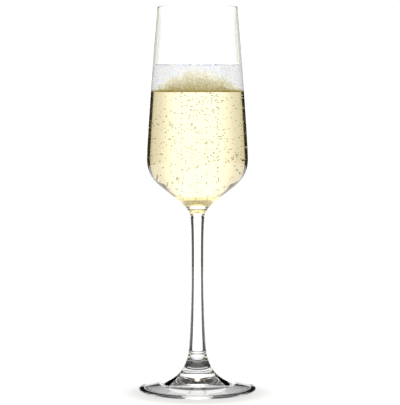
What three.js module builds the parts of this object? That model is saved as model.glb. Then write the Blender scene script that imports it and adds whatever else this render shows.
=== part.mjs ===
// Champagne flute, poured and foaming. A blown bowl, a drawn stem and a pressed foot are fused hot,
// one above the other, and the bowl holds champagne with its head of foam.
// Millimetres, +Z up. The origin is on the flute's axis, in the plane that the foot stands on.
import * as THREE from 'three';

const FACETS = 48; // flats round every turned piece
const CURVE_STEPS = 6; // straight steps along each curve of an outline
const BEAD_STEPS = 4; // straight steps round each rounded edge

// Foot: a shallow trumpet that stands on a flat ring under its edge
const FOOT_DIAMETER = 70;
const FOOT_HEIGHT = 22.6; // up to its joint with the stem
const FOOT_EDGE = 1.7; // thickness of the rounded edge
const FOOT_THROAT_DROP = 13.3; // how far the trumpet falls steeply below the stem
const FOOT_THROAT_FLARE = 3; // how far it opens while it falls
const FOOT_PLATE_WIDTH = 20.4; // nearly level part, in from the edge
const FOOT_PLATE_RISE = 2.3; // how much that part climbs
const REST_RING_WIDTH = 3.2;
const UNDERSIDE_RISE = 3; // hollow at the middle of the underside

// Stem: a solid rod, waisted, that swells to the foot and to a small collar under the bowl
const STEM_LENGTH = 81.8;
const STEM_FOOT_DIAMETER = 10.8;
const STEM_FOOT_FLARE = 9; // height in which the lower swelling is mostly gone
const WAIST_DIAMETER = 7.04;
const WAIST_DROP = 24.9; // below the bowl
const COLLAR_DIAMETER = 8.1;
const COLLAR_DROP = 2.4; // below the bowl
const COLLAR_SWELL = 4.8; // height in which the stem swells to the collar
const WAIST_REACH = 24.9; // height in which the lower stem is nearly as slim as the waist
const WAIST_RISE = 12; // height over the waist in which it stays slim
const JOINT_GROOVE = 0.3; // depth of the groove left where two pieces are fused

// Bowl: a flat-bottomed cone, a round shoulder and a tall wall that leans in to the rim
const BOWL_HEIGHT = 123.6;
const BOWL_DIAMETER = 59.8;
const BOWL_WIDEST_HEIGHT = 33.6; // of the widest line above the bowl's base
const RIM_DIAMETER = 47;
const BASE_LIP_OVERHANG = 0.71; // of the bowl's base past its joint with the stem
const BASE_LIP_HEIGHT = 0.7;
const LIP_PULL = 1.4; // height in which the lip's curve still climbs upright
const NECK_RADIUS = 11.4; // where the lip's curve runs out into the cone
const NECK_HEIGHT = 9;
const NECK_REACH = 3.5; // pull of the cone on the lip's curve
const CONE_SLOPE = 0.78; // rise over run
const SHOULDER_WIDTH = 9.4; // from the end of the cone out to the widest line
const SHOULDER_SIDE = 7.9; // pull of the upright wall on the shoulder's curve
const SHOULDER_REACH = 6.1; // pull of the cone on the shoulder's curve
const SIDE_LOW_PULL = 8; // height over the widest line in which the side still climbs upright
const SIDE_HIGH_PULL = 30.4; // depth under the rim from which the side leans in evenly
const SIDE_LEAN_LEFT = 0.44; // share of the lean still to come at that depth
const FLOOR_CORNER = 1; // from where the inside cone would meet the floor, out to each end of the bevel
const RIM_WALL = 1.1;
const BODY_WALL = 1.4; // at the widest line
const CONE_WALL = 2.2; // square to the cone
const BASE_THICKNESS = 6.8; // solid glass between the stem and the drink

// Drink
const FILL_DEPTH = 66.5;
const FOAM_DEPTH = 16.3;

const stemBase = FOOT_HEIGHT;
const bowlBase = stemBase + STEM_LENGTH;
const drinkBase = bowlBase + BASE_THICKNESS;
const foamBase = drinkBase + FILL_DEPTH;
const foamTop = foamBase + FOAM_DEPTH;
const topJointRadius = COLLAR_DIAMETER / 2 - JOINT_GROOVE;
const footJointRadius = STEM_FOOT_DIAMETER / 2 - JOINT_GROOVE;

// A solid turned about Z from an outline of (radius, height) points that starts and ends on the axis
function turned(name, points, material) {
  const geometry = new THREE.LatheGeometry(points, FACETS);
  geometry.rotateX(Math.PI / 2);
  const mesh = new THREE.Mesh(geometry, material);
  mesh.name = name;
  return mesh;
}

// Rounds an outline anticlockwise about a centre, from one angle to another
function bead(outline, radius, height, round, from, to) {
  for (let i = 0; i <= BEAD_STEPS; i += 1) {
    const angle = from + ((to - from) * i) / BEAD_STEPS;
    outline.lineTo(radius + round * Math.cos(angle), height + round * Math.sin(angle));
  }
}

function clearGlass() {
  return new THREE.MeshStandardMaterial({
    color: 0xe9f0ec, roughness: 0.03, metalness: 0, transparent: true, opacity: 0.35,
  });
}

function foot() {
  const edgeRadius = FOOT_EDGE / 2;
  const rimRadius = FOOT_DIAMETER / 2 - edgeRadius;
  const ringInner = rimRadius - REST_RING_WIDTH;
  const grooveTop = FOOT_HEIGHT - JOINT_GROOVE;
  const stemRadius = STEM_FOOT_DIAMETER / 2;
  const outline = new THREE.Path();
  outline.moveTo(0, UNDERSIDE_RISE);
  outline.quadraticCurveTo(ringInner / 2, UNDERSIDE_RISE, ringInner, 0);
  bead(outline, rimRadius, edgeRadius, edgeRadius, -Math.PI / 2, Math.PI / 2);
  outline.bezierCurveTo(
    rimRadius - FOOT_PLATE_WIDTH, FOOT_EDGE + FOOT_PLATE_RISE,
    stemRadius + FOOT_THROAT_FLARE, FOOT_HEIGHT - FOOT_THROAT_DROP,
    stemRadius, grooveTop,
  );
  outline.lineTo(footJointRadius, FOOT_HEIGHT);
  outline.lineTo(0, FOOT_HEIGHT);
  return turned('foot', outline.getPoints(CURVE_STEPS), clearGlass());
}

function stem() {
  const footRadius = STEM_FOOT_DIAMETER / 2;
  const waistRadius = WAIST_DIAMETER / 2;
  const waist = bowlBase - WAIST_DROP;
  const collar = bowlBase - COLLAR_DROP;
  const outline = new THREE.Path();
  outline.moveTo(0, stemBase);
  outline.lineTo(footJointRadius, stemBase);
  outline.lineTo(footRadius, stemBase + JOINT_GROOVE);
  outline.bezierCurveTo(
    (footRadius + waistRadius) / 2, stemBase + STEM_FOOT_FLARE,
    waistRadius, waist - WAIST_REACH,
    waistRadius, waist,
  );
  outline.bezierCurveTo(
    waistRadius, waist + WAIST_RISE,
    topJointRadius, collar - COLLAR_SWELL,
    COLLAR_DIAMETER / 2, collar,
  );
  outline.lineTo(COLLAR_DIAMETER / 2, bowlBase - JOINT_GROOVE * 2);
  outline.lineTo(topJointRadius, bowlBase);
  outline.lineTo(0, bowlBase);
  return turned('stem', outline.getPoints(CURVE_STEPS), clearGlass());
}

// Inside of the bowl, from the middle of its floor up to the rim
function innerWall() {
  const coneRun = Math.hypot(1, CONE_SLOPE);
  const floorRadius = NECK_RADIUS
    - (CONE_WALL * coneRun - (BASE_THICKNESS - NECK_HEIGHT)) / CONE_SLOPE;
  const insideRadius = BOWL_DIAMETER / 2 - BODY_WALL;
  const shoulderStart = insideRadius - SHOULDER_WIDTH;
  const coneHeight = (radius) => drinkBase + (radius - floorRadius) * CONE_SLOPE;
  const shoulderReach = shoulderStart + SHOULDER_REACH;
  const widest = bowlBase + BOWL_WIDEST_HEIGHT;
  const rimRadius = RIM_DIAMETER / 2 - RIM_WALL;
  const rimLevel = bowlBase + BOWL_HEIGHT - RIM_WALL / 2;
  const wall = new THREE.Path();
  wall.moveTo(0, drinkBase);
  wall.lineTo(floorRadius - FLOOR_CORNER, drinkBase);
  wall.lineTo(floorRadius + FLOOR_CORNER, coneHeight(floorRadius + FLOOR_CORNER));
  wall.lineTo(shoulderStart, coneHeight(shoulderStart));
  wall.bezierCurveTo(
    shoulderReach, coneHeight(shoulderReach),
    insideRadius, widest - SHOULDER_SIDE,
    insideRadius, widest,
  );
  leanIn(wall, insideRadius, widest, rimRadius, rimLevel);
  return wall.getPoints(CURVE_STEPS);
}

// The tall side of the bowl, which leaves the widest line upright and leans in steadily to the rim
function leanIn(wall, wideRadius, widest, rimRadius, rimLevel) {
  wall.bezierCurveTo(
    wideRadius, widest + SIDE_LOW_PULL,
    rimRadius + (wideRadius - rimRadius) * SIDE_LEAN_LEFT, rimLevel - SIDE_HIGH_PULL,
    rimRadius, rimLevel,
  );
}

// The same polyline with a point added where it climbs through a level
function withLevel(points, level) {
  const above = points.findIndex((point) => point.y > level);
  const low = points[above - 1];
  const high = points[above];
  const crossing = low.clone().lerp(high, (level - low.y) / (high.y - low.y));
  return [...points.slice(0, above), crossing, ...points.slice(above)];
}

function bowl(inside) {
  const radius = BOWL_DIAMETER / 2;
  const lipRadius = topJointRadius + BASE_LIP_OVERHANG;
  const coneHeight = (r) => bowlBase + NECK_HEIGHT + (r - NECK_RADIUS) * CONE_SLOPE;
  const neckPull = NECK_RADIUS - NECK_REACH;
  const shoulderStart = radius - SHOULDER_WIDTH;
  const shoulderReach = shoulderStart + SHOULDER_REACH;
  const widest = bowlBase + BOWL_WIDEST_HEIGHT;
  const rimLevel = bowlBase + BOWL_HEIGHT - RIM_WALL / 2;
  const outline = new THREE.Path();
  outline.moveTo(0, bowlBase);
  outline.lineTo(topJointRadius, bowlBase);
  outline.lineTo(lipRadius, bowlBase + BASE_LIP_HEIGHT);
  outline.bezierCurveTo(
    lipRadius, bowlBase + BASE_LIP_HEIGHT + LIP_PULL,
    neckPull, coneHeight(neckPull),
    NECK_RADIUS, bowlBase + NECK_HEIGHT,
  );
  outline.lineTo(shoulderStart, coneHeight(shoulderStart));
  outline.bezierCurveTo(
    shoulderReach, coneHeight(shoulderReach),
    radius, widest - SHOULDER_SIDE,
    radius, widest,
  );
  leanIn(outline, radius, widest, RIM_DIAMETER / 2, rimLevel);
  bead(outline, (RIM_DIAMETER - RIM_WALL) / 2, rimLevel, RIM_WALL / 2, 0, Math.PI);
  const points = [...outline.getPoints(CURVE_STEPS).slice(0, -1), ...inside.toReversed()];
  return turned('bowl', points, clearGlass());
}

function champagne(inside) {
  const wet = inside.filter((point) => point.y <= foamBase);
  const material = new THREE.MeshStandardMaterial({
    color: 0xf2dc96, roughness: 0.05, metalness: 0, transparent: true, opacity: 0.8,
  });
  return turned('champagne', [...wet, new THREE.Vector2(0, foamBase)], material);
}

function foam(inside) {
  const wet = inside.filter((point) => point.y >= foamBase && point.y <= foamTop);
  const material = new THREE.MeshStandardMaterial({ color: 0xf4f0e6, roughness: 0.8, metalness: 0 });
  const points = [new THREE.Vector2(0, foamBase), ...wet, new THREE.Vector2(0, foamTop)];
  return turned('foam', points, material);
}

const inside = withLevel(withLevel(innerWall(), foamBase), foamTop);
const flute = new THREE.Group();
flute.add(foot(), stem(), bowl(inside), champagne(inside), foam(inside));

export default flute;
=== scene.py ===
import math
import random

import bmesh
import bpy
from mathutils import Matrix, Vector
from mathutils.geometry import interpolate_bezier


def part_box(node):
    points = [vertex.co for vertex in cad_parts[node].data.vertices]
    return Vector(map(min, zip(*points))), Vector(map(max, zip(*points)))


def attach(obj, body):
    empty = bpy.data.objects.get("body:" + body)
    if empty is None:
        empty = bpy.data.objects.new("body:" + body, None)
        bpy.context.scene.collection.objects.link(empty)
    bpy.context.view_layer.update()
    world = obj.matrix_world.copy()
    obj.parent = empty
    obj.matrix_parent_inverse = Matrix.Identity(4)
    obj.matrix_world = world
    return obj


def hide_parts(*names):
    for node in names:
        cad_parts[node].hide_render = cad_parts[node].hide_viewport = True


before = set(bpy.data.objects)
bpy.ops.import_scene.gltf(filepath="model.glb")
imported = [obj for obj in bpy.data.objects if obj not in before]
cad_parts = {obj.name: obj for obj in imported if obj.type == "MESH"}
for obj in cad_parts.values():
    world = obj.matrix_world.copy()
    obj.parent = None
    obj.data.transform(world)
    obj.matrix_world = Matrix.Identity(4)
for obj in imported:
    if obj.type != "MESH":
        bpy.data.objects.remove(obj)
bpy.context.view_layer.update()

# ---- Foot ---------------------------------------------------------------------------------------
# The round base, pressed in clear crystal glass in one piece with the short cone in its middle.
# Its edge is fire-polished, its underside is hollow, and only the outermost ring touches the table.
# The stem is fused to the top of the cone while both are hot.
foot_radius, _, foot_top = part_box("foot")[1]
stem_foot_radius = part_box("stem")[1][0]
FOOT_EDGE = 0.0017
REST_RING_WIDTH = 0.0032
UNDERSIDE_RISE = 0.0068
HOLLOW_CROWN = 0.28
HOLLOW_SKIRT = 0.58
HOLLOW_SKIRT_RISE = 0.0019
PLATE_WIDTH = 0.0204
PLATE_RISE = 0.0023
THROAT_FLARE = 0.0030
THROAT_DROP = 0.0133
JOINT_GROOVE = 0.0003
ROUND_STEPS = 144
SHARP_EDGE = math.radians(40)
SAME_POINT = 1e-7
LEVEL_SLACK = 1e-6
FLAT = 0.99
CRYSTAL_IOR = 1.52
CRYSTAL_TINT = (0.99, 0.995, 0.992)
DRAW_LINES_PER_METRE = 110
DRAW_LINE_STRETCH = 0.25
DRAW_LINE_DEPTH = 0.00005
DULL_SPOTS_PER_METRE = 60
DULL_FROM = 0.6
DULL_FULLY = 0.8
FOOT_RIPPLE = 0.25
FOOT_HAZE = 0.03


def bend(start, start_pull, end_pull, end, steps):
    """The (radius, height) points after the start of a curve that two points pull on its way."""
    knots = [Vector((radius, 0, height)) for radius, height in (start, start_pull, end_pull, end)]
    return [(point.x, point.z) for point in interpolate_bezier(*knots, steps + 1)[1:]]


def rounded_edge(radius, height, roundness, from_angle, to_angle, steps):
    """The points of an arc about one point of a section, from one angle to another in degrees."""
    one_step = (to_angle - from_angle) / steps
    turns = [math.radians(from_angle + one_step * step) for step in range(steps + 1)]
    return [(radius + roundness * math.cos(turn), height + roundness * math.sin(turn)) for turn in turns]


def finished_piece(name, mesh):
    """Makes an object of a bmesh, smooth all over but for its sharp edges."""
    for face in mesh.faces:
        face.smooth = True
    for edge in mesh.edges:
        edge.smooth = edge.calc_face_angle(0) < SHARP_EDGE
    data = bpy.data.meshes.new(name)
    mesh.to_mesh(data)
    mesh.free()
    made = bpy.data.objects.new(name, data)
    bpy.context.collection.objects.link(made)
    return made


def turned_piece(name, outline):
    """Spins an outline of (radius, height) points, from axis to axis, into one closed solid."""
    mesh = bmesh.new()
    points = [mesh.verts.new((radius, 0, height)) for radius, height in outline]
    edges = [mesh.edges.new(pair) for pair in zip(points, points[1:])]
    bmesh.ops.spin(mesh, geom=points + edges, cent=(0, 0, 0), axis=(0, 0, 1), dvec=(0, 0, 0),
                   angle=math.tau, steps=ROUND_STEPS, use_merge=True)
    bmesh.ops.remove_doubles(mesh, verts=mesh.verts[:], dist=SAME_POINT)
    bmesh.ops.recalc_face_normals(mesh, faces=mesh.faces[:])
    return finished_piece(name, mesh)


def crystal_surface():
    """A group for fire-polished glass: faint draw lines along the axis, and a few duller spots."""
    group = bpy.data.node_groups.new("crystal_surface", "ShaderNodeTree")
    group.interface.new_socket("Ripple", in_out="INPUT", socket_type="NodeSocketFloat")
    group.interface.new_socket("Haze", in_out="INPUT", socket_type="NodeSocketFloat")
    group.interface.new_socket("Roughness", in_out="OUTPUT", socket_type="NodeSocketFloat")
    group.interface.new_socket("Normal", in_out="OUTPUT", socket_type="NodeSocketVector")
    nodes, links = group.nodes, group.links
    given = nodes.new("NodeGroupInput")
    result = nodes.new("NodeGroupOutput")
    place = nodes.new("ShaderNodeTexCoord")
    stretch = nodes.new("ShaderNodeMapping")
    stretch.inputs["Scale"].default_value = (1, 1, DRAW_LINE_STRETCH)
    draw_lines = nodes.new("ShaderNodeTexNoise")
    draw_lines.inputs["Scale"].default_value = DRAW_LINES_PER_METRE
    draw_lines.inputs["Detail"].default_value = 1
    bump = nodes.new("ShaderNodeBump")
    bump.inputs["Distance"].default_value = DRAW_LINE_DEPTH
    spots = nodes.new("ShaderNodeTexNoise")
    spots.inputs["Scale"].default_value = DULL_SPOTS_PER_METRE
    dull = nodes.new("ShaderNodeMapRange")
    dull.inputs["From Min"].default_value = DULL_FROM
    dull.inputs["From Max"].default_value = DULL_FULLY
    links.new(place.outputs["Object"], stretch.inputs["Vector"])
    links.new(stretch.outputs["Vector"], draw_lines.inputs["Vector"])
    links.new(draw_lines.outputs["Fac"], bump.inputs["Height"])
    links.new(given.outputs["Ripple"], bump.inputs["Strength"])
    links.new(place.outputs["Object"], spots.inputs["Vector"])
    links.new(spots.outputs["Fac"], dull.inputs["Value"])
    links.new(given.outputs["Haze"], dull.inputs["To Max"])
    links.new(dull.outputs["Result"], result.inputs["Roughness"])
    links.new(bump.outputs["Normal"], result.inputs["Normal"])
    return group


glass_finish = crystal_surface()


def crystal(name, ior, ripple, haze):
    """Clear glass that bends light by its own index, or against a liquid by the ratio of the two."""
    material = bpy.data.materials.new(name)
    material.use_nodes = True
    nodes, links = material.node_tree.nodes, material.node_tree.links
    shader = nodes["Principled BSDF"]
    shader.inputs["Base Color"].default_value = (*CRYSTAL_TINT, 1)
    shader.inputs["Roughness"].default_value = 0
    shader.inputs["IOR"].default_value = ior
    shader.inputs["Transmission Weight"].default_value = 1
    finish = nodes.new("ShaderNodeGroup")
    finish.node_tree = glass_finish
    finish.inputs["Ripple"].default_value = ripple
    # Glass against the wine is perfectly smooth, and keeps the plain roughness of nought.
    if haze:
        finish.inputs["Haze"].default_value = haze
        links.new(finish.outputs["Roughness"], shader.inputs["Roughness"])
    links.new(finish.outputs["Normal"], shader.inputs["Normal"])
    return material


def fused_glass():
    """The skin inside a hot joint, where two pieces are one glass and light goes straight on."""
    material = bpy.data.materials.new("fused_joint")
    material.use_nodes = True
    nodes, links = material.node_tree.nodes, material.node_tree.links
    nodes.remove(nodes["Principled BSDF"])
    clear = nodes.new("ShaderNodeBsdfTransparent")
    links.new(clear.outputs["BSDF"], nodes["Material Output"].inputs["Surface"])
    return material


joint_skin = fused_glass()


def fuse_at(piece, level):
    """Gives the flat face of a piece at one height the skin of a fused joint."""
    piece.data.materials.append(joint_skin)
    skin = len(piece.data.materials) - 1
    for face in piece.data.polygons:
        if abs(face.center.z - level) < LEVEL_SLACK and abs(face.normal.z) > FLAT:
            face.material_index = skin


rim_centre = foot_radius - FOOT_EDGE / 2
ring_inner = rim_centre - REST_RING_WIDTH
foot_joint_radius = stem_foot_radius - JOINT_GROOVE
foot_outline = [(0, UNDERSIDE_RISE)]
foot_outline += bend((0, UNDERSIDE_RISE), (ring_inner * HOLLOW_CROWN, UNDERSIDE_RISE),
                     (ring_inner * HOLLOW_SKIRT, HOLLOW_SKIRT_RISE), (ring_inner, 0), steps=28)
foot_outline += rounded_edge(rim_centre, FOOT_EDGE / 2, FOOT_EDGE / 2, -90, 90, steps=10)
foot_outline += bend((rim_centre, FOOT_EDGE), (rim_centre - PLATE_WIDTH, FOOT_EDGE + PLATE_RISE),
                     (stem_foot_radius + THROAT_FLARE, foot_top - THROAT_DROP),
                     (stem_foot_radius, foot_top - JOINT_GROOVE), steps=40)
foot_outline += [(foot_joint_radius, foot_top), (0, foot_top)]
foot = turned_piece("foot_shell", foot_outline)
foot.data.materials.append(crystal("foot_crystal", CRYSTAL_IOR, FOOT_RIPPLE, FOOT_HAZE))
fuse_at(foot, foot_top)
# Real crystal hands nearly all of the light on, so it doesn't hold the even light off the table.
foot.visible_diffuse = False
foot.visible_shadow = False
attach(foot, "root")
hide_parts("foot")

# ---- Stem ---------------------------------------------------------------------------------------
# A solid rod of the same crystal, drawn down from the foot to a slim waist, and widening again
# to a small collar under the bowl. It is fused to its neighbours at both ends, with a fine groove.
stem_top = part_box("stem")[1][2]
STEM_FOOT_FLARE = 0.0090
WAIST_RADIUS = 0.00352
WAIST_DROP = 0.0249
WAIST_REACH = 0.0249
WAIST_RISE = 0.0120
COLLAR_RADIUS = 0.00405
COLLAR_DROP = 0.0024
COLLAR_SWELL = 0.0048
COLLAR_BULGE = 0.0001
STEM_RIPPLE = 0.15
STEM_HAZE = 0.02

waist_height = stem_top - WAIST_DROP
collar_height = stem_top - COLLAR_DROP
collar_joint_radius = COLLAR_RADIUS - JOINT_GROOVE
stem_outline = [(0, foot_top), (foot_joint_radius, foot_top), (stem_foot_radius, foot_top + JOINT_GROOVE)]
stem_outline += bend((stem_foot_radius, foot_top + JOINT_GROOVE),
                     ((stem_foot_radius + WAIST_RADIUS) / 2, foot_top + STEM_FOOT_FLARE),
                     (WAIST_RADIUS, waist_height - WAIST_REACH), (WAIST_RADIUS, waist_height), steps=30)
stem_outline += bend((WAIST_RADIUS, waist_height), (WAIST_RADIUS, waist_height + WAIST_RISE),
                     (collar_joint_radius, collar_height - COLLAR_SWELL),
                     (COLLAR_RADIUS, collar_height), steps=20)
stem_outline += bend((COLLAR_RADIUS, collar_height),
                     (COLLAR_RADIUS + COLLAR_BULGE, (collar_height + stem_top) / 2),
                     (COLLAR_RADIUS, stem_top - JOINT_GROOVE), (collar_joint_radius, stem_top), steps=8)
stem_outline += [(0, stem_top)]
stem = turned_piece("stem_rod", stem_outline)
stem.data.materials.append(crystal("stem_crystal", CRYSTAL_IOR, STEM_RIPPLE, STEM_HAZE))
fuse_at(stem, foot_top)
fuse_at(stem, stem_top)
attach(stem, "root")
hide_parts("stem")

# ---- Bowl ---------------------------------------------------------------------------------------
# The blown crystal bowl: a thick base over the stem, a cone, a round shoulder and a long side that
# leans in to a thin, cut and fire-polished rim. Its wall thins from the base up to the rim. Below the
# fill line the wall is wet, so the light there bends only by the ratio of glass to wine.
bowl_radius, _, bowl_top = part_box("bowl")[1]
bowl_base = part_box("bowl")[0][2]
inside_radius, _, fill_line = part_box("champagne")[1]
drink_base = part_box("champagne")[0][2]
foam_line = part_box("foam")[1][2]
RIM_RADIUS = 0.0235
RIM_WALL = 0.0011
WIDEST_HEIGHT = 0.0336
LIP_OVERHANG = 0.00071
LIP_HEIGHT = 0.0007
LIP_PULL = 0.0014
NECK_RADIUS = 0.0114
NECK_HEIGHT = 0.0090
NECK_REACH = 0.0035
CONE_SLOPE = 0.78
CONE_WALL = 0.0022
SHOULDER_WIDTH = 0.0094
SHOULDER_REACH = 0.0061
SHOULDER_SIDE = 0.0079
SIDE_LOW_PULL = 0.0080
SIDE_HIGH_PULL = 0.0304
SIDE_LEAN_LEFT = 0.44
FLOOR_CORNER = 0.0010
BOWL_RIPPLE = 0.04
BOWL_HAZE = 0.01
WINE_IOR = 1.34

widest_height = bowl_base + WIDEST_HEIGHT
rim_height = bowl_top - RIM_WALL / 2
neck_height = bowl_base + NECK_HEIGHT
lip_radius = collar_joint_radius + LIP_OVERHANG
lip_height = bowl_base + LIP_HEIGHT
cone_wall_height = CONE_WALL * math.hypot(1, CONE_SLOPE)
floor_radius = NECK_RADIUS - (cone_wall_height - (drink_base - neck_height)) / CONE_SLOPE


def cone_point(radius, cone_start):
    """The point of the bowl's cone at a radius, on the cone that starts at a given point."""
    return radius, cone_start[1] + (radius - cone_start[0]) * CONE_SLOPE


def shoulder(widest_radius, cone_start):
    """From the end of the cone, round the shoulder, to the widest line."""
    first = cone_point(widest_radius - SHOULDER_WIDTH, cone_start)
    reach = cone_point(first[0] + SHOULDER_REACH, cone_start)
    side_pull = (widest_radius, widest_height - SHOULDER_SIDE)
    return [first] + bend(first, reach, side_pull, (widest_radius, widest_height), steps=24)


def long_side(widest_radius, end_radius):
    """From the widest line up to the rim."""
    lean = end_radius + (widest_radius - end_radius) * SIDE_LEAN_LEFT
    return bend((widest_radius, widest_height), (widest_radius, widest_height + SIDE_LOW_PULL),
                (lean, rim_height - SIDE_HIGH_PULL), (end_radius, rim_height), steps=40)


neck = (NECK_RADIUS, neck_height)
outside = [(0, bowl_base), (collar_joint_radius, bowl_base)]
outside += bend((collar_joint_radius, bowl_base), (lip_radius, bowl_base),
                (lip_radius, bowl_base), (lip_radius, lip_height), steps=6)
outside += bend((lip_radius, lip_height), (lip_radius, lip_height + LIP_PULL),
                cone_point(NECK_RADIUS - NECK_REACH, neck), neck, steps=16)
outside += shoulder(bowl_radius, neck) + long_side(bowl_radius, RIM_RADIUS)
drink_edge = (floor_radius, drink_base)
corner_end = cone_point(floor_radius + FLOOR_CORNER, drink_edge)
inside = [(0, drink_base), (floor_radius - FLOOR_CORNER, drink_base)]
inside += bend((floor_radius - FLOOR_CORNER, drink_base), drink_edge, drink_edge, corner_end, steps=8)
inside += shoulder(inside_radius, drink_edge) + long_side(inside_radius, RIM_RADIUS - RIM_WALL)


def inside_at(height):
    """The bowl's inner radius at a height above the floor of the drink."""
    for (low_radius, low), (high_radius, high) in zip(inside, inside[1:]):
        if low <= height < high:
            return low_radius + (high_radius - low_radius) * (height - low) / (high - low)


def inside_between(low, high):
    """The inner wall's points from one height to another, with both ends exactly at their heights."""
    between = [(radius, height) for radius, height in inside if low < height < high]
    return [(inside_at(low), low)] + between + [(inside_at(high), high)]


wet_wall = inside[:2] + inside_between(drink_base + LEVEL_SLACK, fill_line)
dry_wall = inside_between(fill_line, foam_line) + [point for point in inside if point[1] > foam_line]
rim_bead = rounded_edge(RIM_RADIUS - RIM_WALL / 2, rim_height, RIM_WALL / 2, 0, 180, steps=12)[1:-1]
bowl = turned_piece("bowl_shell", outside + rim_bead + dry_wall[::-1] + wet_wall[-2::-1])
bowl.data.materials.append(crystal("bowl_crystal", CRYSTAL_IOR, BOWL_RIPPLE, BOWL_HAZE))
bowl.data.materials.append(crystal("wet_crystal", CRYSTAL_IOR / WINE_IOR, BOWL_RIPPLE, haze=0))
for face in bowl.data.polygons:
    middle = face.center
    inner_skin = middle.xy.dot(face.normal.xy) < 0 or face.normal.z > FLAT
    if inner_skin and drink_base - LEVEL_SLACK < middle.z < fill_line:
        face.material_index = 1
fuse_at(bowl, bowl_base)
# The bowl, like the foot, hands the light on to the froth inside it and to the table.
bowl.visible_diffuse = False
bowl.visible_shadow = False
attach(bowl, "root")
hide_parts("bowl")

# ---- Champagne ----------------------------------------------------------------------------------
# The wine itself, filled to a little over half of the bowl. It is clear and straw yellow, paler where
# there is less of it to look through. It wets the wall, so it reaches a hair into the glass's skin.
WET_SKIN = 0.00006
FLOOR_SLACK = 1e-5
WINE_TINT = (0.975, 0.87, 0.46)
WINE_DEPTH_OF_COLOUR = 17


def wetted(outline):
    """Moves the points of an outline out by the skin in which a liquid meets the glass."""
    return [(radius + WET_SKIN if radius else 0, height) for radius, height in outline]


def sunk(height):
    """Lowers the floor of the drink, and nothing above it, by the same skin."""
    return height - WET_SKIN if height < drink_base + FLOOR_SLACK else height


wine_outline = [(radius, sunk(height)) for radius, height in wetted(wet_wall)] + [(0, fill_line)]
champagne = turned_piece("champagne_fill", wine_outline)
wine = bpy.data.materials.new("champagne_wine")
wine.use_nodes = True
nodes, links = wine.node_tree.nodes, wine.node_tree.links
nodes.remove(nodes["Principled BSDF"])
clear = nodes.new("ShaderNodeBsdfTransparent")
tint = nodes.new("ShaderNodeVolumeAbsorption")
tint.inputs["Color"].default_value = (*WINE_TINT, 1)
tint.inputs["Density"].default_value = WINE_DEPTH_OF_COLOUR
links.new(clear.outputs["BSDF"], nodes["Material Output"].inputs["Surface"])
links.new(tint.outputs["Volume"], nodes["Material Output"].inputs["Volume"])
champagne.data.materials.append(wine)
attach(champagne, "root")
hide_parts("champagne")

# ---- Bubbles ------------------------------------------------------------------------------------
# Fine beads of gas that rise through the wine, most of them loose and some in strings that start at a
# point of the wall or the floor. They grow a little on their way up.
LOOSE_BUBBLES = 560
BUBBLE_STRINGS = 6
STRING_SPACING = (0.0022, 0.0042)
STRING_SWAY = 0.0004
SMALLEST_BUBBLE = 0.00024
LARGEST_BUBBLE = 0.00050
BUBBLE_CLEARANCE = 0.0003
LOOSE_DEPTHS = (0.02, 0.985)
STRING_STARTS = (0.03, 0.3)
STRING_INWARDS = 0.9
SIZE_AT_FLOOR = 0.5
GAS_TINT = (0.80, 0.84, 0.78)

chance = random.Random(19)


def unit_ball():
    """A ball of unit radius with only a few dozen faces, which every bubble is a copy of."""
    mesh = bmesh.new()
    bmesh.ops.create_uvsphere(mesh, u_segments=8, v_segments=6, radius=1)
    data = bpy.data.meshes.new("ball")
    mesh.to_mesh(data)
    mesh.free()
    return data


ball = unit_ball()


def add_ball(mesh, x, y, height, radius):
    """Adds one bubble of a given size to a bmesh."""
    placed = ball.copy()
    placed.transform(Matrix.Translation((x, y, height)) @ Matrix.Scale(radius, 4))
    mesh.from_mesh(placed)
    bpy.data.meshes.remove(placed)


def place_in_bowl(height, clearance):
    """A random place at a height, spread evenly over the round inside of the bowl."""
    reach = (inside_at(height) - clearance) * math.sqrt(chance.random())
    turn = chance.uniform(0, math.tau)
    return reach * math.cos(turn), reach * math.sin(turn)


def bubble_radius(height):
    """A random size for a bubble, which may be larger the higher it has risen."""
    grown = (height - drink_base) / (fill_line - drink_base)
    largest = SIZE_AT_FLOOR + (1 - SIZE_AT_FLOOR) * grown
    return SMALLEST_BUBBLE + (LARGEST_BUBBLE - SMALLEST_BUBBLE) * chance.random() * largest


mesh = bmesh.new()
wine_depth = fill_line - drink_base
made_bubbles = 0
while made_bubbles < LOOSE_BUBBLES:
    height = drink_base + wine_depth * chance.uniform(*LOOSE_DEPTHS)
    share = (inside_at(height) / inside_radius) ** 2
    if chance.random() < share:
        x, y = place_in_bowl(height, LARGEST_BUBBLE + BUBBLE_CLEARANCE)
        add_ball(mesh, x, y, height, bubble_radius(height))
        made_bubbles += 1
for _ in range(BUBBLE_STRINGS):
    height = drink_base + wine_depth * chance.uniform(*STRING_STARTS)
    start_x, start_y = place_in_bowl(height, LARGEST_BUBBLE + BUBBLE_CLEARANCE)
    while height < fill_line - LARGEST_BUBBLE - BUBBLE_CLEARANCE:
        x = start_x * STRING_INWARDS + chance.uniform(-STRING_SWAY, STRING_SWAY)
        y = start_y * STRING_INWARDS + chance.uniform(-STRING_SWAY, STRING_SWAY)
        add_ball(mesh, x, y, height, bubble_radius(height))
        height += chance.uniform(*STRING_SPACING)
bubbles = finished_piece("bubbles", mesh)
gas = bpy.data.materials.new("gas_in_wine")
gas.use_nodes = True
nodes, links = gas.node_tree.nodes, gas.node_tree.links
nodes.remove(nodes["Principled BSDF"])
shell = nodes.new("ShaderNodeBsdfGlass")
shell.inputs["Color"].default_value = (*GAS_TINT, 1)
shell.inputs["Roughness"].default_value = 0
shell.inputs["IOR"].default_value = 1 / WINE_IOR
links.new(shell.outputs["BSDF"], nodes["Material Output"].inputs["Surface"])
bubbles.data.materials.append(gas)
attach(bubbles, "root")

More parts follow.
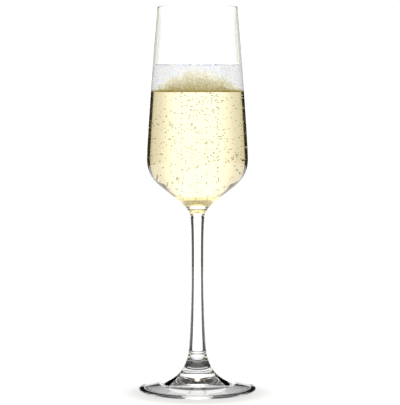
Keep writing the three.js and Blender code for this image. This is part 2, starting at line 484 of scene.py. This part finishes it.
# ---- Foam ---------------------------------------------------------------------------------------
# The head on the wine: a stiff white froth above, which drains from below. Where it still holds wine
# it is olive, and that wet zone stands up against the wall in two broad tongues, front and back.
FROTH_DROP = 0.0008
DRY_FROTH = (0.98, 0.98, 0.965)
DAMP_FROTH = (0.78, 0.74, 0.55)
WET_FROTH = (0.42, 0.33, 0.09)
DRAINED_FROTH = (0.30, 0.22, 0.04)
WET_LOW = 0.0022
WET_HIGH = 0.0170
TONGUES = 2
SEEP = 0.0016
PAINTED_GLOW = 0.4
PAINTED_GLOW_TINT = (0.8, 0.86, 1)
DARK_MIDDLE = 0.011
PALE_RING = 0.015
CLUMPS_PER_METRE = 260
CLUMP_HEIGHT = 0.009
DAMP_AT = 0.35
SOAKED_AT = 0.85
FROTH_ROUGHNESS = 0.55
FROTH_DEPTH_OF_RED_GREEN_BLUE = (1, 0.9, 0.7)
CELL_DEPTH = 0.0007
FOAM_CELLS_PER_METRE = 1100
FOAM_BUMPINESS = 1
FOAM_SCATTER = 0.0007


def froth_cells():
    """A group for froth: the shade and the height of packed cells that differ in size."""
    group = bpy.data.node_groups.new("froth_cells", "ShaderNodeTree")
    group.interface.new_socket("Cells per Metre", in_out="INPUT", socket_type="NodeSocketFloat")
    group.interface.new_socket("Shade", in_out="OUTPUT", socket_type="NodeSocketFloat")
    group.interface.new_socket("Height", in_out="OUTPUT", socket_type="NodeSocketFloat")
    nodes, links = group.nodes, group.links
    given = nodes.new("NodeGroupInput")
    result = nodes.new("NodeGroupOutput")
    place = nodes.new("ShaderNodeTexCoord")
    cells = nodes.new("ShaderNodeTexVoronoi")
    clumps = nodes.new("ShaderNodeTexNoise")
    clumps.inputs["Scale"].default_value = CLUMPS_PER_METRE
    clumps.inputs["Detail"].default_value = 3
    blend = nodes.new("ShaderNodeMath")
    blend.operation = "MULTIPLY"
    links.new(place.outputs["Object"], cells.inputs["Vector"])
    links.new(given.outputs["Cells per Metre"], cells.inputs["Scale"])
    links.new(place.outputs["Object"], clumps.inputs["Vector"])
    links.new(cells.outputs["Distance"], blend.inputs[0])
    links.new(clumps.outputs["Fac"], blend.inputs[1])
    links.new(blend.outputs["Value"], result.inputs["Shade"])
    links.new(cells.outputs["Distance"], result.inputs["Height"])
    return group


cell_pattern = froth_cells()


def math_node(nodes, operation, *values):
    """Adds a Math node that works on numbers and on other nodes' outputs, and gives its result."""
    node = nodes.new("ShaderNodeMath")
    node.operation = operation
    for socket, value in zip(node.inputs, values):
        if isinstance(value, bpy.types.NodeSocket):
            node.id_data.links.new(value, socket)
        else:
            socket.default_value = value
    return node.outputs[0]


def froth(name, cells_per_metre, bumpiness, scatter, drained_by):
    """White froth that scatters light within itself, and darkens towards the wine below it."""
    material = bpy.data.materials.new(name)
    material.use_nodes = True
    nodes, links = material.node_tree.nodes, material.node_tree.links
    shader = nodes["Principled BSDF"]
    shader.inputs["Roughness"].default_value = FROTH_ROUGHNESS
    shader.inputs["IOR"].default_value = WINE_IOR
    shader.inputs["Subsurface Weight"].default_value = 1
    shader.inputs["Subsurface Radius"].default_value = FROTH_DEPTH_OF_RED_GREEN_BLUE
    shader.inputs["Subsurface Scale"].default_value = scatter
    place = nodes.new("ShaderNodeTexCoord")
    axes = nodes.new("ShaderNodeSeparateXYZ")
    cells = nodes.new("ShaderNodeGroup")
    cells.node_tree = cell_pattern
    cells.inputs["Cells per Metre"].default_value = cells_per_metre
    links.new(place.outputs["Object"], axes.inputs["Vector"])
    above = math_node(nodes, "SUBTRACT", axes.outputs["Z"], fill_line)
    forward = math_node(nodes, "MULTIPLY", axes.outputs["Y"], -1)
    turn = math_node(nodes, "ARCTAN2", axes.outputs["X"], forward)
    wave = math_node(nodes, "COSINE", math_node(nodes, "MULTIPLY", turn, TONGUES))
    tongue = math_node(nodes, "MULTIPLY_ADD", wave, (WET_HIGH - WET_LOW) / 2, (WET_HIGH + WET_LOW) / 2)
    uneven = math_node(nodes, "MULTIPLY_ADD", cells.outputs["Shade"], CLUMP_HEIGHT, above)
    wetness = math_node(nodes, "SUBTRACT", 1, math_node(nodes, "DIVIDE", uneven, tongue))
    soak = nodes.new("ShaderNodeValToRGB")
    soak.color_ramp.elements[0].color = (*DRY_FROTH, 1)
    soak.color_ramp.elements[1].color = (*WET_FROTH, 1)
    soak.color_ramp.elements[1].position = SOAKED_AT
    soak.color_ramp.elements.new(DAMP_AT).color = (*DAMP_FROTH, 1)
    links.new(wetness, soak.inputs["Fac"])
    bottom = nodes.new("ShaderNodeMapRange")
    bottom.inputs["From Min"].default_value = SEEP
    bottom.inputs["From Max"].default_value = 0
    bottom.inputs["To Max"].default_value = drained_by
    links.new(above, bottom.inputs["Value"])
    drained = nodes.new("ShaderNodeMix")
    drained.data_type = "RGBA"
    drained.inputs["B"].default_value = (*DRAINED_FROTH, 1)
    links.new(bottom.outputs["Result"], drained.inputs["Factor"])
    links.new(soak.outputs["Color"], drained.inputs["A"])
    links.new(drained.outputs["Result"], shader.inputs["Base Color"])
    bump = nodes.new("ShaderNodeBump")
    bump.inputs["Strength"].default_value = bumpiness
    bump.inputs["Distance"].default_value = CELL_DEPTH
    links.new(cells.outputs["Height"], bump.inputs["Height"])
    links.new(bump.outputs["Normal"], shader.inputs["Normal"])
    return material


def froth_underside():
    """The froth that floats on the wine: a painted glow as if lit through from above, darker in its middle.
    """
    material = bpy.data.materials.new("froth_underside")
    material.use_nodes = True
    nodes, links = material.node_tree.nodes, material.node_tree.links
    shader = nodes["Principled BSDF"]
    shader.inputs["Roughness"].default_value = FROTH_ROUGHNESS
    # Painted light: a faint bluish glow stands for the light that comes down through the froth from above.
    shader.inputs["Emission Color"].default_value = (*PAINTED_GLOW_TINT, 1)
    shader.inputs["Emission Strength"].default_value = PAINTED_GLOW
    place = nodes.new("ShaderNodeTexCoord")
    axes = nodes.new("ShaderNodeSeparateXYZ")
    links.new(place.outputs["Object"], axes.inputs["Vector"])
    y_squared = math_node(nodes, "POWER", axes.outputs["Y"], 2)
    both_squared = math_node(nodes, "MULTIPLY_ADD", axes.outputs["X"], axes.outputs["X"], y_squared)
    reach = math_node(nodes, "SQRT", both_squared)
    ring = nodes.new("ShaderNodeMapRange")
    ring.interpolation_type = "SMOOTHSTEP"
    ring.inputs["From Min"].default_value = DARK_MIDDLE
    ring.inputs["From Max"].default_value = PALE_RING
    links.new(reach, ring.inputs["Value"])
    shade = nodes.new("ShaderNodeMix")
    shade.data_type = "RGBA"
    shade.inputs["A"].default_value = (*DRAINED_FROTH, 1)
    shade.inputs["B"].default_value = (*DRY_FROTH, 1)
    links.new(ring.outputs["Result"], shade.inputs["Factor"])
    links.new(shade.outputs["Result"], shader.inputs["Base Color"])
    return material


froth_top = foam_line - FROTH_DROP
foam_outline = [(0, fill_line - WET_SKIN)] + wetted([(inside_at(fill_line), fill_line - WET_SKIN)])
foam_outline += wetted(inside_between(fill_line, froth_top)) + [(0, froth_top)]
foam = turned_piece("foam_head", foam_outline)
foam.data.materials.append(froth("froth", FOAM_CELLS_PER_METRE, FOAM_BUMPINESS, FOAM_SCATTER, drained_by=1))
foam.data.materials.append(froth_underside())
for face in foam.data.polygons:
    if face.normal.z < -FLAT:
        face.material_index = 1
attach(foam, "root")
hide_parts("foam")

# ---- Froth --------------------------------------------------------------------------------------
# The loose bubbles on top of the head. They sit half sunk in it and crowd along the wall, so the head
# ends in an uneven, soft edge and not in a line.
FROTH_BUBBLES = 800
SMALLEST_FROTH = 0.00035
LARGEST_FROTH = 0.00085
WALL_CROWD = 0.45
SUNK_OR_PROUD = 0.6
SKIN_CELLS_PER_METRE = 3000
SKIN_BUMPINESS = 0.3
SKIN_SCATTER = 0.0003

mesh = bmesh.new()
for _ in range(FROTH_BUBBLES):
    radius = chance.uniform(SMALLEST_FROTH, LARGEST_FROTH)
    height = min(froth_top + chance.uniform(-SUNK_OR_PROUD, SUNK_OR_PROUD) * radius, foam_line - radius)
    reach = inside_at(height) - radius
    if chance.random() > WALL_CROWD:
        reach *= math.sqrt(chance.random())
    turn = chance.uniform(0, math.tau)
    add_ball(mesh, reach * math.cos(turn), reach * math.sin(turn), height, radius)
froth_beads = finished_piece("froth_bubbles", mesh)
froth_skin = froth("froth_skin", SKIN_CELLS_PER_METRE, SKIN_BUMPINESS, SKIN_SCATTER, drained_by=0)
froth_beads.data.materials.append(froth_skin)
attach(froth_beads, "root")

# ---- Table and light ----------------------------------------------------------------------------
# A white table under an even white sky, with the soft shade round the foot painted on it. A bright
# screen bends round behind the glass, and dark cloths beside, over and under it are what clear glass
# shows as its edges. The camera sees none of them, and it holds all but those on the table.
SKY = 1.10
TABLE_WHITE = 0.94
TABLE_HALF = 6
CONTACT_WHITE = 0.70
CONTACT_FORWARD = 0.010
CONTACT_INSIDE = 0.030
CONTACT_OUTSIDE = 0.052
CLOTH_ROUGHNESS = 0.9
BLACK_CLOTH = (0.008, 0.008, 0.008)
BROWN_CLOTH = (0.13, 0.105, 0.055)
GREY_CARD = (0.045, 0.045, 0.045)
CARD_STEPS = 48
SHEET_STEPS = 32
SCREEN_DISTANCE = 0.58
SCREEN_LOW = -0.3
SCREEN_HIGH = 0.8
SCREEN_END = 95
SCREEN_GLOW = 1.45
GLOW_BY_ANGLE = ((0, (1, 1, 1)), (6, (1, 1, 1)), (30, (0.66, 0.63, 0.56)), (43, (0.61, 0.56, 0.45)),
                 (48, (0, 0, 0)), (SCREEN_END, (0, 0, 0)))
NEAR_FLAG_DISTANCE = 0.062
NEAR_FLAG_START = 25
NEAR_FLAG_END = 60
NEAR_FLAG_LOW = -0.05
NEAR_FLAG_HIGH = 0.115
SIDE_FLAG_END = 165
SIDE_FLAG_LOW = 0.0
HIGH_FLAG_DISTANCE = 0.50
HIGH_FLAG_START = 26
HIGH_FLAG_LOW = 0.33
HIGH_FLAG_HIGH = 1.6
DARK_BAND_DISTANCE = 0.50
DARK_BAND_END = 120
DARK_BAND_LOW = 0.07
DARK_BAND_HIGH = 0.27
CARD_RADIUS = 0.020
CARD_BACK = 0.008
CARD_LIFT = 0.0002
CRESCENT_START = 70
CRESCENT_END = 164
CRESCENT_INSIDE = 0.0318
CRESCENT_OUTSIDE = 0.0350
LAMP_PLACE = (0, -1.0, 1.1)
LAMP_SIZE = 0.8
LAMP_POWER = 2

world = bpy.data.worlds.new("studio")
world.use_nodes = True
world.node_tree.nodes["Background"].inputs["Color"].default_value = (1, 1, 1, 1)
world.node_tree.nodes["Background"].inputs["Strength"].default_value = SKY
bpy.context.scene.world = world


def cloth(name, colour):
    """A matt, even surface without any shine."""
    material = bpy.data.materials.new(name)
    material.use_nodes = True
    shader = material.node_tree.nodes["Principled BSDF"]
    shader.inputs["Base Color"].default_value = (*colour, 1)
    shader.inputs["Roughness"].default_value = CLOTH_ROUGHNESS
    shader.inputs["Specular IOR Level"].default_value = 0
    return material


def screen_cloth():
    """Glows white straight behind the glass and dimmer to the sides, and is black at its ends."""
    material = bpy.data.materials.new("surround_cloth")
    material.use_nodes = True
    nodes, links = material.node_tree.nodes, material.node_tree.links
    nodes.remove(nodes["Principled BSDF"])
    glow = nodes.new("ShaderNodeEmission")
    glow.inputs["Strength"].default_value = SCREEN_GLOW
    place = nodes.new("ShaderNodeTexCoord")
    axes = nodes.new("ShaderNodeSeparateXYZ")
    links.new(place.outputs["Object"], axes.inputs["Vector"])
    turn = math_node(nodes, "ARCTAN2", axes.outputs["X"], axes.outputs["Y"])
    aside = math_node(nodes, "ABSOLUTE", turn)
    share = math_node(nodes, "DIVIDE", aside, math.radians(SCREEN_END))
    fade = nodes.new("ShaderNodeValToRGB")
    fade.color_ramp.interpolation = "EASE"
    fade.color_ramp.elements.remove(fade.color_ramp.elements[1])
    fade.color_ramp.elements[0].color = (*GLOW_BY_ANGLE[0][1], 1)
    for angle, colour in GLOW_BY_ANGLE[1:]:
        fade.color_ramp.elements.new(angle / SCREEN_END).color = (*colour, 1)
    links.new(share, fade.inputs["Fac"])
    links.new(fade.outputs["Color"], glow.inputs["Color"])
    links.new(glow.outputs["Emission"], nodes["Material Output"].inputs["Surface"])
    return material


mesh = bmesh.new()
bmesh.ops.create_grid(mesh, x_segments=1, y_segments=1, size=TABLE_HALF)
table = finished_piece("floor", mesh)
floor_paint = cloth("floor_paint", (TABLE_WHITE, TABLE_WHITE, TABLE_WHITE))
nodes, links = floor_paint.node_tree.nodes, floor_paint.node_tree.links
place = nodes.new("ShaderNodeTexCoord")
from_foot = nodes.new("ShaderNodeVectorMath")
from_foot.operation = "DISTANCE"
from_foot.inputs[1].default_value = (0, -CONTACT_FORWARD, 0)
contact = nodes.new("ShaderNodeMapRange")
contact.interpolation_type = "SMOOTHSTEP"
contact.inputs["From Min"].default_value = CONTACT_INSIDE
contact.inputs["From Max"].default_value = CONTACT_OUTSIDE
contact.inputs["To Min"].default_value = CONTACT_WHITE
contact.inputs["To Max"].default_value = TABLE_WHITE
links.new(place.outputs["Object"], from_foot.inputs[0])
links.new(from_foot.outputs["Value"], contact.inputs["Value"])
links.new(contact.outputs["Result"], nodes["Principled BSDF"].inputs["Base Color"])
table.data.materials.append(floor_paint)

mesh = bmesh.new()
bmesh.ops.create_circle(mesh, cap_ends=True, segments=CARD_STEPS, radius=CARD_RADIUS,
                        matrix=Matrix.Translation((0, CARD_BACK, CARD_LIFT)))
card = finished_piece("shade_under_foot", mesh)
card.data.materials.append(cloth("shade_card", GREY_CARD))
card.visible_camera = False
card.visible_diffuse = False
card.visible_shadow = False


def stand_round(name, angles, inner_end, outer_end, material):
    """Turns a line between two (distance, height) points round the glass, from angle to angle.

    Angles are in degrees from straight behind the glass. Only light bent by glass meets the sheet."""
    start, end = (math.radians(angle) for angle in angles)
    mesh = bmesh.new()
    ends = [mesh.verts.new((far * math.sin(start), far * math.cos(start), height))
            for far, height in (inner_end, outer_end)]
    edge = mesh.edges.new(ends)
    bmesh.ops.spin(mesh, geom=ends + [edge], cent=(0, 0, 0), axis=(0, 0, -1), dvec=(0, 0, 0),
                   angle=end - start, steps=SHEET_STEPS)
    sheet = finished_piece(name, mesh)
    sheet.data.materials.append(material)
    sheet.visible_camera = False
    sheet.visible_diffuse = False
    sheet.visible_shadow = False
    sheet.visible_glossy = False
    return sheet


black = cloth("flag_cloth", BLACK_CLOTH)
brown = cloth("brown_cloth", BROWN_CLOTH)
held = [stand_round("surround", (-SCREEN_END, SCREEN_END), (SCREEN_DISTANCE, SCREEN_LOW),
                    (SCREEN_DISTANCE, SCREEN_HIGH), screen_cloth())]
for side in (-1, 1):
    near_flag = stand_round(f"low_flag_{side}", (side * NEAR_FLAG_START, side * NEAR_FLAG_END),
                            (NEAR_FLAG_DISTANCE, NEAR_FLAG_LOW),
                            (NEAR_FLAG_DISTANCE, NEAR_FLAG_HIGH), black)
    side_flag = stand_round(f"side_flag_{side}", (side * SCREEN_END, side * SIDE_FLAG_END),
                            (SCREEN_DISTANCE, SIDE_FLAG_LOW),
                            (SCREEN_DISTANCE, SCREEN_HIGH), brown)
    high_flag = stand_round(f"high_flag_{side}", (side * HIGH_FLAG_START, side * SCREEN_END),
                            (HIGH_FLAG_DISTANCE, HIGH_FLAG_LOW),
                            (HIGH_FLAG_DISTANCE, HIGH_FLAG_HIGH), brown)
    held += [near_flag, side_flag, high_flag]
    stand_round(f"shade_under_rim_{side}", (side * CRESCENT_START, side * CRESCENT_END),
                (CRESCENT_INSIDE, CARD_LIFT), (CRESCENT_OUTSIDE, CARD_LIFT), black)

dark_band = stand_round("dark_band", (-DARK_BAND_END, DARK_BAND_END), (DARK_BAND_DISTANCE, DARK_BAND_LOW),
                        (DARK_BAND_DISTANCE, DARK_BAND_HIGH), black)
# The band is only mirrored by the glass: without it the bowl's outline would be a white line.
dark_band.visible_glossy = True
dark_band.visible_transmission = False
held.append(dark_band)

# A weak lamp in front and above only softens the froth.
lamp_data = bpy.data.lights.new("soft_lamp", "AREA")
lamp_data.size = LAMP_SIZE
lamp_data.energy = LAMP_POWER
lamp = bpy.data.objects.new("soft_lamp", lamp_data)
bpy.context.collection.objects.link(lamp)
lamp.location = LAMP_PLACE
lamp.rotation_euler = (Vector((0, 0, fill_line)) - lamp.location).to_track_quat("-Z", "Y").to_euler()
lamp.visible_glossy = False
held.append(lamp)

# ---- Camera -------------------------------------------------------------------------------------
# A long portrait lens at the height of the foam, from which the rim is seen a little from below and
# the foot from above.
EYE_DISTANCE = 1.150
EYE_HEIGHT = 0.189
AIM_HEIGHT = 0.1121
SIDE_STEP = 0.0015
LENS = 172.65
SENSOR_WIDTH = 36
NEAREST_SEEN = 0.05
FURTHEST_SEEN = 50

camera_data = bpy.data.cameras.new("camera")
camera_data.lens = LENS
camera_data.sensor_width = SENSOR_WIDTH
camera_data.clip_start = NEAREST_SEEN
camera_data.clip_end = FURTHEST_SEEN
camera = bpy.data.objects.new("camera", camera_data)
bpy.context.collection.objects.link(camera)
camera.location = (SIDE_STEP, -EYE_DISTANCE, EYE_HEIGHT)
aim = Vector((SIDE_STEP, 0, AIM_HEIGHT)) - camera.location
camera.rotation_euler = aim.to_track_quat("-Z", "Y").to_euler()
bpy.context.scene.camera = camera
bpy.context.scene.view_settings.view_transform = "Standard"
bpy.context.view_layer.update()
# What is held keeps its place in front of the camera, wherever the camera goes.
for thing in held:
    thing.parent = camera
    thing.matrix_parent_inverse = camera.matrix_world.inverted()
